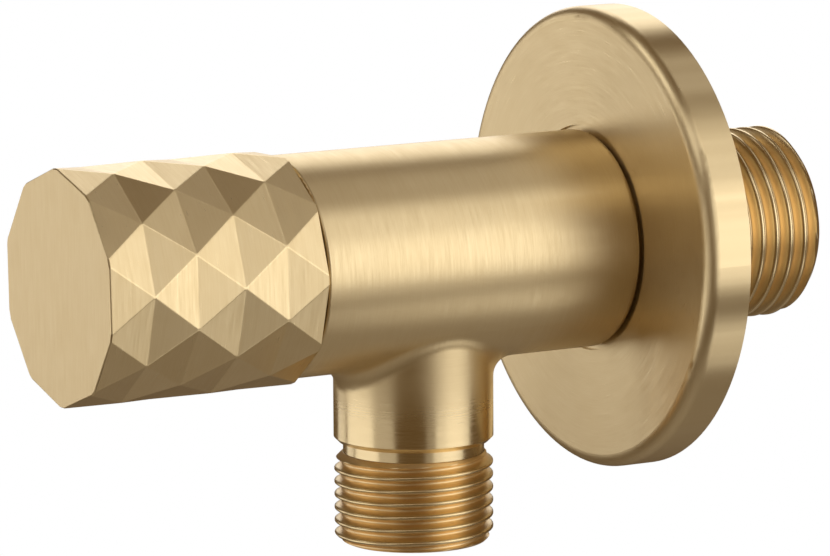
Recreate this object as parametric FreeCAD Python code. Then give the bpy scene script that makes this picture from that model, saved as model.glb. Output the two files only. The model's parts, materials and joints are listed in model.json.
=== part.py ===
"""Angle stop valve: a one-piece brass body with a facet-cut knob, a quarter-turn
ceramic-disc cartridge, a sliding wall flange, a 1/2-14 inlet nipple and a 3/8-18 outlet.

Frame: the valve axis is Y. The knob points to -Y and the inlet nipple to +Y, into the
wall. +Z is up and the outlet points down. The origin is on the inlet axis where the
inlet thread starts. An angle about the valve axis is measured from +X towards +Z.
"""
import FreeCAD
import Part
import math
import os

V = FreeCAD.Vector

# ---------------------------------------------------------------- driving dimensions, mm
# Inlet nipple, 1/2-14 straight pipe thread (G1/2), male
inlet_thread_radius = 10.4775
inlet_thread_pitch = 1.8143
inlet_thread_length = 18.8
inlet_relief_width = 1.6
inlet_chamfer = 1.0
inlet_bore_radius = 6.0
shank_radius = 10.4

# Outlet branch, 3/8-18 straight pipe thread, male
outlet_thread_radius = 8.55
outlet_thread_pitch = 1.4111
outlet_thread_length = 9.65
outlet_relief_width = 1.2
outlet_chamfer = 0.75
outlet_bore_radius = 5.0
outlet_neck_radius = 8.6
outlet_neck_chamfer = 0.5
outlet_reach = 30.95             # valve axis to the outlet's end face
outlet_offset = 21.58            # barrel's rear face to the outlet axis
outlet_fillet = 2.5

# Both threads
thread_depth_per_pitch = 0.640327
groove_overcut = 0.15            # the thread cut reaches past the crest by this

# Barrel
barrel_radius = 11.85
barrel_length = 38.2
barrel_rear_round = 0.8
barrel_front_round = 0.3

# Wall flange and its O-ring
flange_radius = 25.15
flange_thickness = 5.2
flange_setback = 0.4             # rear rim to the start of the inlet thread
flange_edge_round = 1.4
flange_face_wall = 1.8
flange_rim_wall = 1.6
flange_hub_wall = 3.0
flange_hub_length = 3.5
flange_seat_depth = 0.4
flange_seat_clearance = 0.45
flange_seat_gap = 0.35
flange_ring_section = 1.6

# Knob: rows of facets whose points alternate by half a step
knob_point_radius = 12.55
knob_sides = 10
knob_rows = 5
knob_row_pitch = 5.234
knob_front_trim = 0.4
knob_rear_trim = 0.6
knob_first_point_deg = 20.0
knob_cavity_radius = 10.0
knob_front_wall = 3.0
knob_edge_round = 0.4
knob_gap = 0.3
insert_length = 12.6

# Grub screw, M4
grub_radius = 2.0
grub_row = 2                     # the ring of points that it sits in
grub_side_deg = 252.0            # moved to the nearest valley between two points
grub_depth_below_face = 0.4
grub_socket_flats = 2.0
grub_socket_depth = 2.2

# Cartridge
hex_flats = 16.0
hex_length = 5.0
hex_first_corner_deg = 30.0
housing_thread_radius = 8.7      # pitch line of M18x1
housing_thread_length = 6.5
spigot_radius = 8.0
housing_ring_section = 1.6
housing_ring_depth = 1.7
sleeve_radius = 7.4
sleeve_bore_radius = 6.3
chamber_radius = 8.4
seat_opening_radius = 4.6
seat_land_length = 3.0
seat_depth = 14.95               # barrel's rear face to the seat
window_span_deg = 100.0
journal_radius = 4.92
spline_radius = 4.0
spline_root_radius = 3.55
spline_teeth = 20
spline_length = 12.8
spline_outline = ((0.1, spline_root_radius), (0.3, spline_root_radius),
                  (0.5, spline_radius), (0.9, spline_radius))
spline_reach = 1.0               # spindle's tip behind the socket's mouth length
socket_end_play = 0.4
spindle_waist_depth = 0.8        # circlip groove and stop flats
ring_places = (0.25, 0.6)        # along the journal bore, from its inner end
spindle_ring_section = 1.22
seal_thickness = 2.2
seal_proud = 0.4
seal_ring_wall = 0.7
fixed_disc_thickness = 2.4
moving_disc_thickness = 2.2
port_span_deg = 76.0
port_inner_radius = 1.6
port_outer_wall = 1.2
lobe_span_deg = 100.0
lobe_core_wall = 0.6
foot_thickness = 3.0
drive_tab_inner = 3.2
drive_tab_outer = 5.2
drive_tab_width = 3.0
drive_tab_depth = 1.1
washer_thickness = 0.8
ear_width = 3.0
circlip_thickness = 0.8
circlip_radius = 6.2
circlip_mouth_deg = 50.0
circlip_mouth_side_deg = 225.0
stop_ring_thickness = 1.4
stop_ring_radius = 6.4
stop_outer_radius = 7.9
stop_tongue_width = 3.0
quarter_turn_deg = 90.0
stop_rest_deg = 45.0
stop_play_deg = 1.5              # left at each end of the tongue's swing

# Clearances
running = 0.08                   # journal in bore, O-ring on bore
fitted = 0.05                    # pieces of one assembly, per side
disc_gap = 0.05                  # between pieces that slide face to face
loose = 0.3                      # between moving bodies

# Drawing aids
joined = 0.5                     # how far shapes of one solid reach into each other
past = 1.0                       # how far a cut runs past the face it opens

# ---------------------------------------------------------------- places worked out
flange_rear = -flange_setback
flange_front = flange_rear - flange_thickness
flange_seat_floor = flange_front + flange_seat_depth
barrel_rear = flange_seat_floor - flange_seat_gap
barrel_front = barrel_rear - barrel_length
outlet_y = barrel_rear - outlet_offset
outlet_shoulder = -(outlet_reach - outlet_thread_length - outlet_relief_width)
seat_y = barrel_rear - seat_depth
knob_rear = barrel_front - knob_gap
knob_length = knob_rows * knob_row_pitch - knob_front_trim - knob_rear_trim
knob_front = knob_rear - knob_length
knob_floor = knob_front + knob_front_wall

housing_front = barrel_front - hex_length
thread_front = barrel_front + housing_ring_depth
thread_rear = thread_front + housing_thread_length
sleeve_end = seat_y - seal_proud
fixed_disc_rear = seat_y - seal_thickness
fixed_disc_front = fixed_disc_rear - fixed_disc_thickness
moving_disc_rear = fixed_disc_front - disc_gap
moving_disc_front = moving_disc_rear - moving_disc_thickness
foot_front = moving_disc_front - foot_thickness
washer_rear = foot_front - disc_gap
bore_shoulder = washer_rear - washer_thickness
journal_bore_radius = journal_radius + running
stop_ring_rear = housing_front - 2 * disc_gap
stop_ring_front = stop_ring_rear - stop_ring_thickness
circlip_rear = stop_ring_front - disc_gap
circlip_front = circlip_rear - circlip_thickness
insert_rear = knob_floor + insert_length
spindle_front = insert_rear - spline_length + spline_reach
journal_length = bore_shoulder - housing_front
spindle_ring_middles = [bore_shoulder - place * journal_length for place in ring_places]
spindle_ring_outer = journal_radius + running / 2
spindle_ring_inner = spindle_ring_outer - spindle_ring_section
spindle_waist = journal_radius - spindle_waist_depth
seal_inner_radius = seat_opening_radius

nipple_radius = max(inlet_thread_radius, shank_radius)
flange_bore_radius = nipple_radius + loose
flange_ring_inner = nipple_radius + running
flange_hub_rear = flange_seat_floor + flange_hub_length
flange_groove_middle = (flange_seat_floor + flange_hub_rear) / 2

knob_step_deg = 360 / knob_sides
grub_y = knob_front - knob_front_trim + grub_row * knob_row_pitch
first_valley_deg = knob_first_point_deg + knob_step_deg / 2
grub_angle = first_valley_deg + knob_step_deg * round((grub_side_deg - first_valley_deg) / knob_step_deg)
grub_head_radius = knob_point_radius * math.cos(math.pi / knob_sides) - grub_depth_below_face
grub_tip_radius = spline_radius + fitted


# ---------------------------------------------------------------- shape helpers
def turned(points):
    """A solid of revolution about the valve axis from (y, radius) corners."""
    corners = [V(radius, y, 0) for y, radius in points]
    face = Part.Face(Part.makePolygon(corners + corners[:1]))
    return face.revolve(V(0, 0, 0), V(0, 1, 0), 360)


def tube(outer, inner, y_front, y_rear):
    """A plain ring on the valve axis, or a disc where inner is 0."""
    return turned([(y_front, inner), (y_front, outer), (y_rear, outer), (y_rear, inner)])


def o_ring(inner_radius, section, y_middle):
    """A round-section ring on the valve axis."""
    return Part.makeTorus(inner_radius + section / 2, section / 2, V(0, y_middle, 0), V(0, 1, 0))


def polar(radius, y, angle_deg):
    """The point at a radius and an angle about the valve axis."""
    angle = math.radians(angle_deg)
    return V(radius * math.cos(angle), y, radius * math.sin(angle))


def wedge(outer, y_front, y_rear, middle_deg, span_deg):
    """A pie slice about the valve axis, for cutting and keeping sectors."""
    slice_arc = Part.Arc(polar(outer, y_front, middle_deg - span_deg / 2),
                         polar(outer, y_front, middle_deg),
                         polar(outer, y_front, middle_deg + span_deg / 2)).toShape()
    ends = slice_arc.Vertexes
    sides = [Part.makeLine(ends[-1].Point, V(0, y_front, 0)), Part.makeLine(V(0, y_front, 0), ends[0].Point)]
    face = Part.Face(Part.Wire([slice_arc] + sides))
    return face.extrude(V(0, y_rear - y_front, 0))


def radial_block(inner, outer, width, y_front, y_rear, angle_deg):
    """A straight block along a radius, such as a key, an ear or a tongue."""
    block = Part.makeBox(outer - inner, y_rear - y_front, width, V(inner, y_front, -width / 2))
    block.rotate(V(0, 0, 0), V(0, 1, 0), -angle_deg)
    return block


def prism(corners, length):
    """A straight prism along +Y from its corners."""
    return Part.Face(Part.makePolygon(corners + corners[:1])).extrude(V(0, length, 0))


def hexagon(flats, y_front, length):
    """A hexagonal prism on the valve axis."""
    corner_radius = flats / math.sqrt(3)
    return prism([polar(corner_radius, y_front, hex_first_corner_deg + 60 * i) for i in range(6)], length)


def thread_groove(crest_radius, pitch, length):
    """The helical space between the threads of a pipe thread, along +Z from z = 0."""
    depth = thread_depth_per_pitch * pitch
    flat = pitch / 6
    slope = (pitch - 2 * flat) / 2 / depth
    half_root = flat / 2
    half_top = half_root + (depth + groove_overcut) * slope
    top = crest_radius + groove_overcut
    bottom = crest_radius - depth
    outline = [V(top, 0, -half_top), V(bottom, 0, -half_root), V(bottom, 0, half_root), V(top, 0, half_top)]
    profile = Part.makePolygon(outline + outline[:1])
    path = Part.Wire(Part.makeLongHelix(pitch, length, crest_radius, 0).Edges)
    sweep = Part.BRepOffsetAPI.MakePipeShell(path)
    sweep.setBiNormalMode(V(0, 0, 1))
    sweep.add(profile)
    sweep.build()
    sweep.makeSolid()
    return sweep.shape()


def threaded_end(crest_radius, pitch, length, relief, chamfer):
    """A threaded round end along +Z from z = 0, on a relief neck that reaches back past it."""
    depth = thread_depth_per_pitch * pitch
    root = crest_radius - depth
    outline = [V(0, 0, 0), V(root, 0, 0), V(crest_radius, 0, depth), V(crest_radius, 0, length - chamfer),
               V(crest_radius - chamfer, 0, length), V(0, 0, length)]
    blank = Part.Face(Part.makePolygon(outline + outline[:1])).revolve(V(0, 0, 0), V(0, 0, 1), 360)
    groove = thread_groove(crest_radius, pitch, length + 2 * pitch)
    groove.translate(V(0, 0, -pitch))
    back = relief + past
    neck = Part.makeCylinder(root - fitted, back + past, V(0, 0, -back))
    return blank.cut(groove).fuse(neck)


# ---------------------------------------------------------------- body
def make_valve_body():
    """Barrel, inlet nipple and outlet branch: one forging, bored and threaded."""
    barrel = tube(barrel_radius, 0, barrel_front, barrel_rear)
    neck = Part.makeCylinder(outlet_neck_radius, -outlet_shoulder, V(0, outlet_y, 0), V(0, 0, -1))
    branch = barrel.fuse(neck)
    branch = branch.makeFillet(outlet_fillet, [e for e in branch.Edges if is_branch_joint(e)])
    branch = branch.makeFillet(barrel_rear_round, end_circles(branch, barrel_rear))
    branch = branch.makeFillet(barrel_front_round, end_circles(branch, barrel_front))
    branch = branch.makeChamfer(outlet_neck_chamfer, shoulder_circles(branch))

    shank = tube(shank_radius, 0, barrel_rear - past, -inlet_relief_width)
    nipple = threaded_end(inlet_thread_radius, inlet_thread_pitch, inlet_thread_length,
                          inlet_relief_width, inlet_chamfer)
    nipple.rotate(V(0, 0, 0), V(1, 0, 0), -90)
    spout = threaded_end(outlet_thread_radius, outlet_thread_pitch, outlet_thread_length,
                         outlet_relief_width, outlet_chamfer)
    spout.rotate(V(0, 0, 0), V(1, 0, 0), 180)
    spout.translate(V(0, outlet_y, outlet_shoulder - outlet_relief_width))

    solid = branch.fuse([shank, nipple, spout])
    mouth_radius = spigot_radius + housing_ring_section + 2 * fitted
    bores = turned([
        (barrel_front - past, 0), (barrel_front - past, mouth_radius), (thread_front, mouth_radius),
        (thread_front, housing_thread_radius + fitted), (thread_rear + fitted, housing_thread_radius + fitted),
        (thread_rear + fitted, chamber_radius), (seat_y, chamber_radius), (seat_y, seat_opening_radius),
        (seat_y + seat_land_length, seat_opening_radius), (seat_y + seat_land_length, inlet_bore_radius),
        (inlet_thread_length + past, inlet_bore_radius), (inlet_thread_length + past, 0)])
    outlet_bore = Part.makeCylinder(outlet_bore_radius, outlet_reach + past, V(0, outlet_y, 0), V(0, 0, -1))
    return solid.cut([bores, outlet_bore])


def is_branch_joint(edge):
    """True for the curve where the outlet neck meets the barrel."""
    box = edge.BoundBox
    on_neck = abs(box.XMax - outlet_neck_radius) < 0.01 and box.ZMax < -1
    return on_neck and box.ZMax - box.ZMin > 0.5 and box.YMax - box.YMin > outlet_neck_radius


def end_circles(shape, y):
    """The barrel's outer edge at one of its ends."""
    return [e for e in shape.Edges if abs(e.BoundBox.YMin - y) < 0.01 and abs(e.BoundBox.YMax - y) < 0.01
            and abs(e.BoundBox.XMax - barrel_radius) < 0.01]


def shoulder_circles(shape):
    """The outlet neck's lower outer edge."""
    return [e for e in shape.Edges if abs(e.BoundBox.ZMin - outlet_shoulder) < 0.01
            and abs(e.BoundBox.ZMax - outlet_shoulder) < 0.01]


# ---------------------------------------------------------------- wall flange
def make_wall_flange():
    """A turned cup with a rounded front edge, a seat for the barrel and a grooved hub."""
    hub_radius = flange_bore_radius + flange_hub_wall
    pocket_floor = flange_front + flange_face_wall
    seat_radius = barrel_radius + flange_seat_clearance
    cup = turned([
        (flange_seat_floor, flange_bore_radius), (flange_seat_floor, seat_radius),
        (flange_front, seat_radius), (flange_front, flange_radius), (flange_rear, flange_radius),
        (flange_rear, flange_radius - flange_rim_wall), (pocket_floor, flange_radius - flange_rim_wall),
        (pocket_floor, hub_radius), (flange_hub_rear, hub_radius), (flange_hub_rear, flange_bore_radius)])
    rim = [e for e in cup.Edges if abs(e.BoundBox.YMin - flange_front) < 0.01
           and abs(e.BoundBox.YMax - flange_front) < 0.01 and e.BoundBox.XMax > flange_radius - 0.01]
    cup = cup.makeFillet(flange_edge_round, rim)
    half_groove = flange_ring_section / 2 + fitted
    groove = tube(flange_ring_inner + flange_ring_section + fitted, flange_bore_radius - past,
                  flange_groove_middle - half_groove, flange_groove_middle + half_groove)
    return cup.cut(groove)


def make_flange_o_ring():
    """The ring in the hub's groove that keeps the flange from rattling on the nipple."""
    return o_ring(flange_ring_inner, flange_ring_section, flange_groove_middle)


# ---------------------------------------------------------------- knob
def knob_lattice_point(ring, step):
    """Point number step of a ring; the rings alternate by half a step."""
    angle = knob_first_point_deg + knob_step_deg * (step + (ring % 2) / 2)
    y = knob_front - knob_front_trim + ring * knob_row_pitch
    return polar(knob_point_radius, y, angle)


def faceted_blank():
    """The knob's outside before its ends are trimmed: rows of triangles in pairs."""
    faces = []
    for ring in range(knob_rows):
        for step in range(knob_sides):
            here, beside = knob_lattice_point(ring, step), knob_lattice_point(ring, step + 1)
            shift = ring % 2
            above = knob_lattice_point(ring + 1, step + shift)
            before = knob_lattice_point(ring + 1, step + shift - 1)
            for corners in ([here, beside, above], [here, above, before]):
                faces.append(Part.Face(Part.makePolygon(corners + corners[:1])))
    for ring in (0, knob_rows):
        rim = [knob_lattice_point(ring, step) for step in range(knob_sides)]
        faces.append(Part.Face(Part.makePolygon(rim + rim[:1])))
    shell = Part.makeShell(faces)
    shell.sewShape()
    return Part.makeSolid(shell)


def make_knob():
    """The facet-cut knob shell, open at the back, with its grub screw hole."""
    slab = tube(knob_point_radius + past, 0, knob_front, knob_rear)
    knob = faceted_blank().common(slab)
    knob = knob.makeFillet(knob_edge_round, [e for e in knob.Edges if abs(e.BoundBox.YMax - knob_front) < 0.01])
    cavity = tube(knob_cavity_radius, 0, knob_floor, knob_rear + past)
    return knob.cut([cavity, grub_hole()])


def grub_rod(radius, inner, outer):
    """A round rod along the grub screw's own line."""
    rod = Part.makeCylinder(radius, outer - inner, V(inner, grub_y, 0), V(1, 0, 0))
    rod.rotate(V(0, 0, 0), V(0, 1, 0), -grub_angle)
    return rod


def grub_hole():
    """The threaded hole for the grub screw, drawn plain at its major radius."""
    return grub_rod(grub_radius, 0, knob_point_radius + past)


def make_knob_grub_screw():
    """M4 grub screw with a hexagon socket."""
    screw = grub_rod(grub_radius - fitted, grub_tip_radius, grub_head_radius)
    corner = grub_socket_flats / math.sqrt(3)
    corners = [V(grub_head_radius - grub_socket_depth, grub_y + corner * math.cos(math.radians(60 * i)),
                 corner * math.sin(math.radians(60 * i))) for i in range(6)]
    socket = Part.Face(Part.makePolygon(corners + corners[:1])).extrude(V(grub_socket_depth + past, 0, 0))
    socket.rotate(V(0, 0, 0), V(0, 1, 0), -grub_angle)
    return screw.cut(socket)


def spline_prism(grow, y_front, y_rear):
    """The toothed spindle end, or the same shape grown outwards for the socket."""
    step = 360 / spline_teeth
    corners = []
    for tooth in range(spline_teeth):
        for part, radius in spline_outline:
            corners.append(polar(radius + grow, y_front, step * (tooth + part)))
    return prism(corners, y_rear - y_front)


def make_knob_insert():
    """The toothed socket pressed into the knob."""
    insert = tube(knob_cavity_radius - fitted, 0, knob_floor, insert_rear)
    socket = spline_prism(fitted, spindle_front - socket_end_play, insert_rear + past)
    return insert.cut([socket, grub_hole()])


# ---------------------------------------------------------------- cartridge
def make_cartridge_housing():
    """Hexagon head, threaded shank and windowed sleeve, bored for spindle and discs."""
    head = hexagon(hex_flats, housing_front, hex_length)
    shank = turned([
        (barrel_front - joined, 0), (barrel_front - joined, spigot_radius), (thread_front, spigot_radius),
        (thread_front, housing_thread_radius), (thread_rear, housing_thread_radius),
        (thread_rear, sleeve_radius), (sleeve_end, sleeve_radius), (sleeve_end, 0)])
    sweep = quarter_turn_deg + 2 * tongue_half_angle() + 2 * stop_play_deg
    stop_block = tube(stop_outer_radius, stop_ring_radius + loose, stop_ring_front, housing_front + joined)
    swing_middle = stop_rest_deg + quarter_turn_deg / 2
    swing = wedge(stop_outer_radius + past, stop_ring_front - past, housing_front, swing_middle, sweep)
    bores = turned([
        (stop_ring_front - past, 0), (stop_ring_front - past, journal_bore_radius),
        (bore_shoulder, journal_bore_radius), (bore_shoulder, sleeve_bore_radius),
        (sleeve_end + past, sleeve_bore_radius), (sleeve_end + past, 0)])
    housing = head.fuse([shank, stop_block.cut(swing)]).cut(bores)
    windows = [wedge(sleeve_radius + past, foot_front, fixed_disc_front, middle, window_span_deg)
               for middle in (90, 270)]
    slots = [radial_block(0, sleeve_radius + past, ear_width + 2 * fitted, fixed_disc_front - fitted,
                          sleeve_end + past, side) for side in (0, 180)]
    return housing.cut(windows + slots)


def tongue_half_angle():
    """Half the angle that the stop tongue fills where it meets the lug's inner radius."""
    return math.degrees(math.asin(stop_tongue_width / 2 / (stop_ring_radius + loose)))


def make_housing_o_ring():
    """Seals the cartridge in the barrel's mouth."""
    return o_ring(spigot_radius + fitted, housing_ring_section, barrel_front + housing_ring_depth / 2)


def make_spindle():
    """Toothed end, journal with two ring grooves, flats for the stop, and drive foot."""
    journal = tube(journal_radius, 0, circlip_front - joined, foot_front + joined)
    teeth = spline_prism(0, spindle_front, circlip_front)
    foot = lobes(sleeve_bore_radius - running, foot_front, moving_disc_front)
    tabs = [radial_block(drive_tab_inner, drive_tab_outer, drive_tab_width, moving_disc_front - joined,
                         moving_disc_front + drive_tab_depth, side) for side in (90, 270)]
    spindle = journal.fuse([teeth, foot] + tabs)
    half_groove = spindle_ring_section / 2 + fitted
    cuts = [tube(journal_radius + past, spindle_ring_inner - fitted, middle - half_groove, middle + half_groove)
            for middle in spindle_ring_middles]
    cuts.append(tube(journal_radius + past, spindle_waist, circlip_front - fitted, circlip_rear + fitted))
    cuts += stop_flats(0)
    return spindle.cut(cuts)


def stop_flats(grow):
    """Two blocks that cut the flats which turn the stop ring with the spindle."""
    distance = spindle_waist + grow
    start = circlip_front - past
    length = stop_ring_rear + disc_gap - start
    size = 2 * journal_radius
    return [Part.makeBox(size, length, size, V(-journal_radius, start, distance)),
            Part.makeBox(size, length, size, V(-journal_radius, start, -distance - size))]


def lobes(radius, y_front, y_rear):
    """The bow-tie section shared by the moving disc and the spindle's foot."""
    blank = tube(radius, 0, y_front, y_rear)
    gaps = [wedge(radius + past, y_front - past, y_rear + past, middle, 180 - lobe_span_deg)
            for middle in (0, 180)]
    core = tube(port_inner_radius + lobe_core_wall, 0, y_front, y_rear)
    return blank.cut(gaps).fuse(core)


def make_spindle_o_ring(middle):
    """One of the two rings between the spindle and its bore."""
    return o_ring(spindle_ring_inner, spindle_ring_section, middle)


def make_slide_washer():
    """Low-friction washer between the spindle's foot and the housing's shoulder."""
    return tube(sleeve_bore_radius - fitted, journal_bore_radius,
                bore_shoulder, bore_shoulder + washer_thickness)


def make_stop_ring():
    """Keyed ring whose tongue swings between the ends of the housing's lug."""
    ring = tube(stop_ring_radius, 0, stop_ring_front, stop_ring_rear)
    tongue = radial_block(stop_ring_radius - joined, stop_outer_radius, stop_tongue_width,
                          stop_ring_front, stop_ring_rear, stop_rest_deg)
    shaft = tube(journal_radius + fitted, 0, stop_ring_front - past, stop_ring_rear + past)
    hole = shaft.cut(stop_flats(fitted))
    return ring.fuse(tongue).cut(hole)


def make_spindle_circlip():
    """Snap ring that holds the spindle in the housing."""
    ring = tube(circlip_radius, spindle_waist + fitted, circlip_front, circlip_rear)
    return ring.cut(wedge(circlip_radius + past, circlip_front - past, circlip_rear + past,
                          circlip_mouth_side_deg, circlip_mouth_deg))


def make_moving_disc():
    """Ceramic bow-tie that turns with the spindle and covers the ports at rest."""
    disc = lobes(sleeve_bore_radius - running, moving_disc_front, moving_disc_rear)
    slots = [radial_block(drive_tab_inner - fitted, drive_tab_outer + fitted, drive_tab_width + 2 * fitted,
                          moving_disc_front - past, moving_disc_front + drive_tab_depth + fitted, side)
             for side in (90, 270)]
    return disc.cut(slots)


def make_fixed_disc():
    """Ceramic disc with two ports, keyed into the sleeve's slots by its ears."""
    disc = tube(sleeve_bore_radius - fitted, 0, fixed_disc_front, fixed_disc_rear)
    ears = [radial_block(sleeve_bore_radius - joined, sleeve_radius, ear_width, fixed_disc_front,
                         fixed_disc_rear, side) for side in (0, 180)]
    cut_front = fixed_disc_front - past
    cut_rear = fixed_disc_rear + past
    port_ring = tube(sleeve_bore_radius - port_outer_wall, port_inner_radius, cut_front, cut_rear)
    ports = [port_ring.common(wedge(sleeve_bore_radius, cut_front, cut_rear, middle, port_span_deg))
             for middle in (90, 270)]
    return disc.fuse(ears).cut(ports)


def make_seat_seal():
    """Rubber ring that seals the fixed disc against the body's seat."""
    return tube(sleeve_bore_radius - fitted, seal_inner_radius, fixed_disc_rear, seat_y)


def make_seal_support_ring():
    """Stiff ring inside the seat seal that keeps it round."""
    return tube(seal_inner_radius - fitted, seal_inner_radius - seal_ring_wall, fixed_disc_rear, seat_y - loose)


# ---------------------------------------------------------------- all nodes
def all_parts():
    """Every node's name and solid."""
    ring_rear, ring_front = spindle_ring_middles
    return {
        "valve_body": make_valve_body(),
        "wall_flange": make_wall_flange(),
        "flange_o_ring": make_flange_o_ring(),
        "knob": make_knob(),
        "knob_insert": make_knob_insert(),
        "knob_grub_screw": make_knob_grub_screw(),
        "cartridge_housing": make_cartridge_housing(),
        "housing_o_ring": make_housing_o_ring(),
        "spindle": make_spindle(),
        "spindle_o_ring_front": make_spindle_o_ring(ring_front),
        "spindle_o_ring_rear": make_spindle_o_ring(ring_rear),
        "slide_washer": make_slide_washer(),
        "stop_ring": make_stop_ring(),
        "spindle_circlip": make_spindle_circlip(),
        "moving_disc": make_moving_disc(),
        "fixed_disc": make_fixed_disc(),
        "seat_seal": make_seat_seal(),
        "seal_support_ring": make_seal_support_ring(),
    }


os.makedirs("parts", exist_ok=True)
for name, shape in all_parts().items():
    shape.Solids[0].exportStep("parts/" + name + ".step")
    print(name, round(shape.Volume, 2), len(shape.Solids), shape.isValid())
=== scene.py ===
"""Looks for the angle stop valve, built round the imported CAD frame."""

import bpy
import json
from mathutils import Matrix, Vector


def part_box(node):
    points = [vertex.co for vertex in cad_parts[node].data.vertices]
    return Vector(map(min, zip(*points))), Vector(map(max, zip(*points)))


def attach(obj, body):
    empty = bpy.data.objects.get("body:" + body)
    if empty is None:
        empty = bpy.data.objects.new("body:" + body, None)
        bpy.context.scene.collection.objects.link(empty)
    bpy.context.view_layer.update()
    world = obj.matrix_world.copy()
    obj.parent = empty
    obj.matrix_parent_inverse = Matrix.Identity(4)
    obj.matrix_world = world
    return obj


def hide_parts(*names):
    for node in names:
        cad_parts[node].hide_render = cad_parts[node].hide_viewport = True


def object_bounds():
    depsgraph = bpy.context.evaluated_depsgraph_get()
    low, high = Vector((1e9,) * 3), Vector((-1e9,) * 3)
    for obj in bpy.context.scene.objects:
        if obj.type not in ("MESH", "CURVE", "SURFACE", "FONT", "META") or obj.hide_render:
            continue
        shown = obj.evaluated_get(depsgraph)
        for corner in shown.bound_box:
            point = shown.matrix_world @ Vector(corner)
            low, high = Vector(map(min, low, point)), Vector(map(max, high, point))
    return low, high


bl_info = {
    "name": "Angle Stop Valve",
    "version": (1, 0, 0),
    "blender": (4, 5, 0),
    "location": "3D View > Sidebar > Angle Valve",
    "description": "Brushed gold finish, facet-cut knob and pipe threads for an angle stop valve",
    "category": "Object",
}

import json
import math

import bmesh
import bpy
from bpy.props import FloatProperty, FloatVectorProperty, IntProperty, PointerProperty
from mathutils import Vector

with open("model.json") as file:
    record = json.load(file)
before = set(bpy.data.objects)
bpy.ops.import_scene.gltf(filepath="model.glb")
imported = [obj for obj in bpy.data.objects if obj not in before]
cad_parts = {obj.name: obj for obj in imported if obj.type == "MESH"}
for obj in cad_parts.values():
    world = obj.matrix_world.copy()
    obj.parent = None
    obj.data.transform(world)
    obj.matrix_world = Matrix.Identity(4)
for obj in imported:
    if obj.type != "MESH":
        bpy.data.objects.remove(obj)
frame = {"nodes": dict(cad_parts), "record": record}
NODES = frame["nodes"]
CAD_LOW, CAD_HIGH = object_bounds()
KNOB_LOW, KNOB_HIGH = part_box("knob")
BODY_LOW, BODY_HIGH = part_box("valve_body")
MOUNTS = {mount["name"]: mount for mount in frame["record"]["mounts"]}
INLET = MOUNTS["inlet_thread"]
OUTLET = MOUNTS["outlet_thread"]
OUTLET_Y = OUTLET["pos_m"][1]
OUTLET_TOP = OUTLET["pos_m"][2]
MM = 0.001

# lengths in metres
WELD = 0.000002            # vertices closer than this are one vertex
PLANE_TOLERANCE = 0.00002  # how near a plane counts as lying in it
KNOB_MERGE = 0.00012       # slivers that the knob's booleans leave are merged up to this size
HOLLOW_MARGIN = 0.0004     # edges this near the knob's hollow keep their sharpness
SMALL_FACE = 3e-6          # square metres; edges of smaller knob faces aren't rounded
OUTLET_WALL = 0.0065       # body faces farther than this from the outlet's axis are thread
END_RECESS = 0.00005       # how far the body's end faces stand behind the sleeves' end rings
INLET_BORE_REACH = 0.0085  # inner faces nearer the barrel's axis are bore
INLET_BORE_FLOOR = -0.009  # above this height
OUTLET_BORE_REACH = 0.0055
OUTLET_BORE_TOP = -0.006
NECK_TOP = -0.0125         # below this height the body is outlet neck

WHITWORTH_DEPTH = 0.640327  # thread depth over pitch
THREAD_SIDES = 145          # vertices round a thread sleeve, the seam counted twice
ROWS_PER_TURN = 22
ROUND_SIDES = 96
OUTLET_SIZES = {"pitch": 1.4111, "chamfer": 0.75, "inner_radius": 6.6}  # millimetres

CAMERA_AIM = Vector((0.0, -0.026823, -0.002606))
LAMP_AIM = Vector((0.0, -0.024, 0.0))
FLOOR_TONE = (0.80, 0.79, 0.77)
FLOOR_GLOW = 0.95           # share of white that the camera sees on the floor
FLOOR_WHITE = 1.03


# ---------------------------------------------------------------- settings
def length(name, description, millimetres):
    """A length setting, shown in the scene's units."""
    return FloatProperty(name=name, description=description, default=millimetres * MM,
                         min=0.0, precision=5, unit="LENGTH")


def colour(name, description, value):
    """A linear colour setting."""
    return FloatVectorProperty(name=name, description=description, default=value,
                               size=3, min=0.0, max=1.0, subtype="COLOR")


class GoldFinish(bpy.types.PropertyGroup):
    """Colours and brushing of the plated brass."""

    gold: colour("Gold", "Colour of the brushed plating", (0.81, 0.66, 0.40))
    deep_gold: colour("Deep gold", "Tone of the plating's darker brush lines", (0.74, 0.575, 0.31))
    # Painted shade: the groove colour is a warmer, more saturated gold that stands in for the shade and
    # inter-reflected light between the thread crests.
    groove_shade_gold: colour("Groove shade gold", "Warmer tone between the threads", (0.88, 0.66, 0.36))
    line_spacing: length("Line spacing", "Mean distance between brush lines", 0.10)
    line_length: length("Line length", "Mean length of a brush line", 3.5)


class KnobSizes(bpy.types.PropertyGroup):
    """The facet-cut knob's rule."""

    sides: IntProperty(name="Sides", description="Points in each ring", default=10, min=3)
    rows: IntProperty(name="Rows", description="Rows of facets along the knob", default=5, min=1)
    row_pitch: length("Row pitch", "Distance between rings of points", 5.234)
    point_radius: length("Point radius", "Axis to the points", 12.55)
    front_trim: length("Front trim", "How much the front end is faced off", 0.4)
    front_corner: length("Front corner", "Axis to the turned-off corners of the front face", 12.38)
    first_point: FloatProperty(name="First point", description="Side of the first ring's first point",
                               default=math.radians(20), subtype="ANGLE")
    cavity_radius: length("Cavity radius", "Hollow at the back of the knob", 10.0)
    front_wall: length("Front wall", "Thickness behind the front face", 3.0)
    grub_radius: length("Grub radius", "Hole for the grub screw", 2.0)
    grub_side: FloatProperty(name="Grub side", description="Side of the grub screw hole",
                             default=math.radians(254), subtype="ANGLE")
    edge_round: length("Edge round", "Rounding of the front face's edge", 0.16)
    facet_round: length("Facet round", "Rounding of the facet edges", 0.11)


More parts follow.
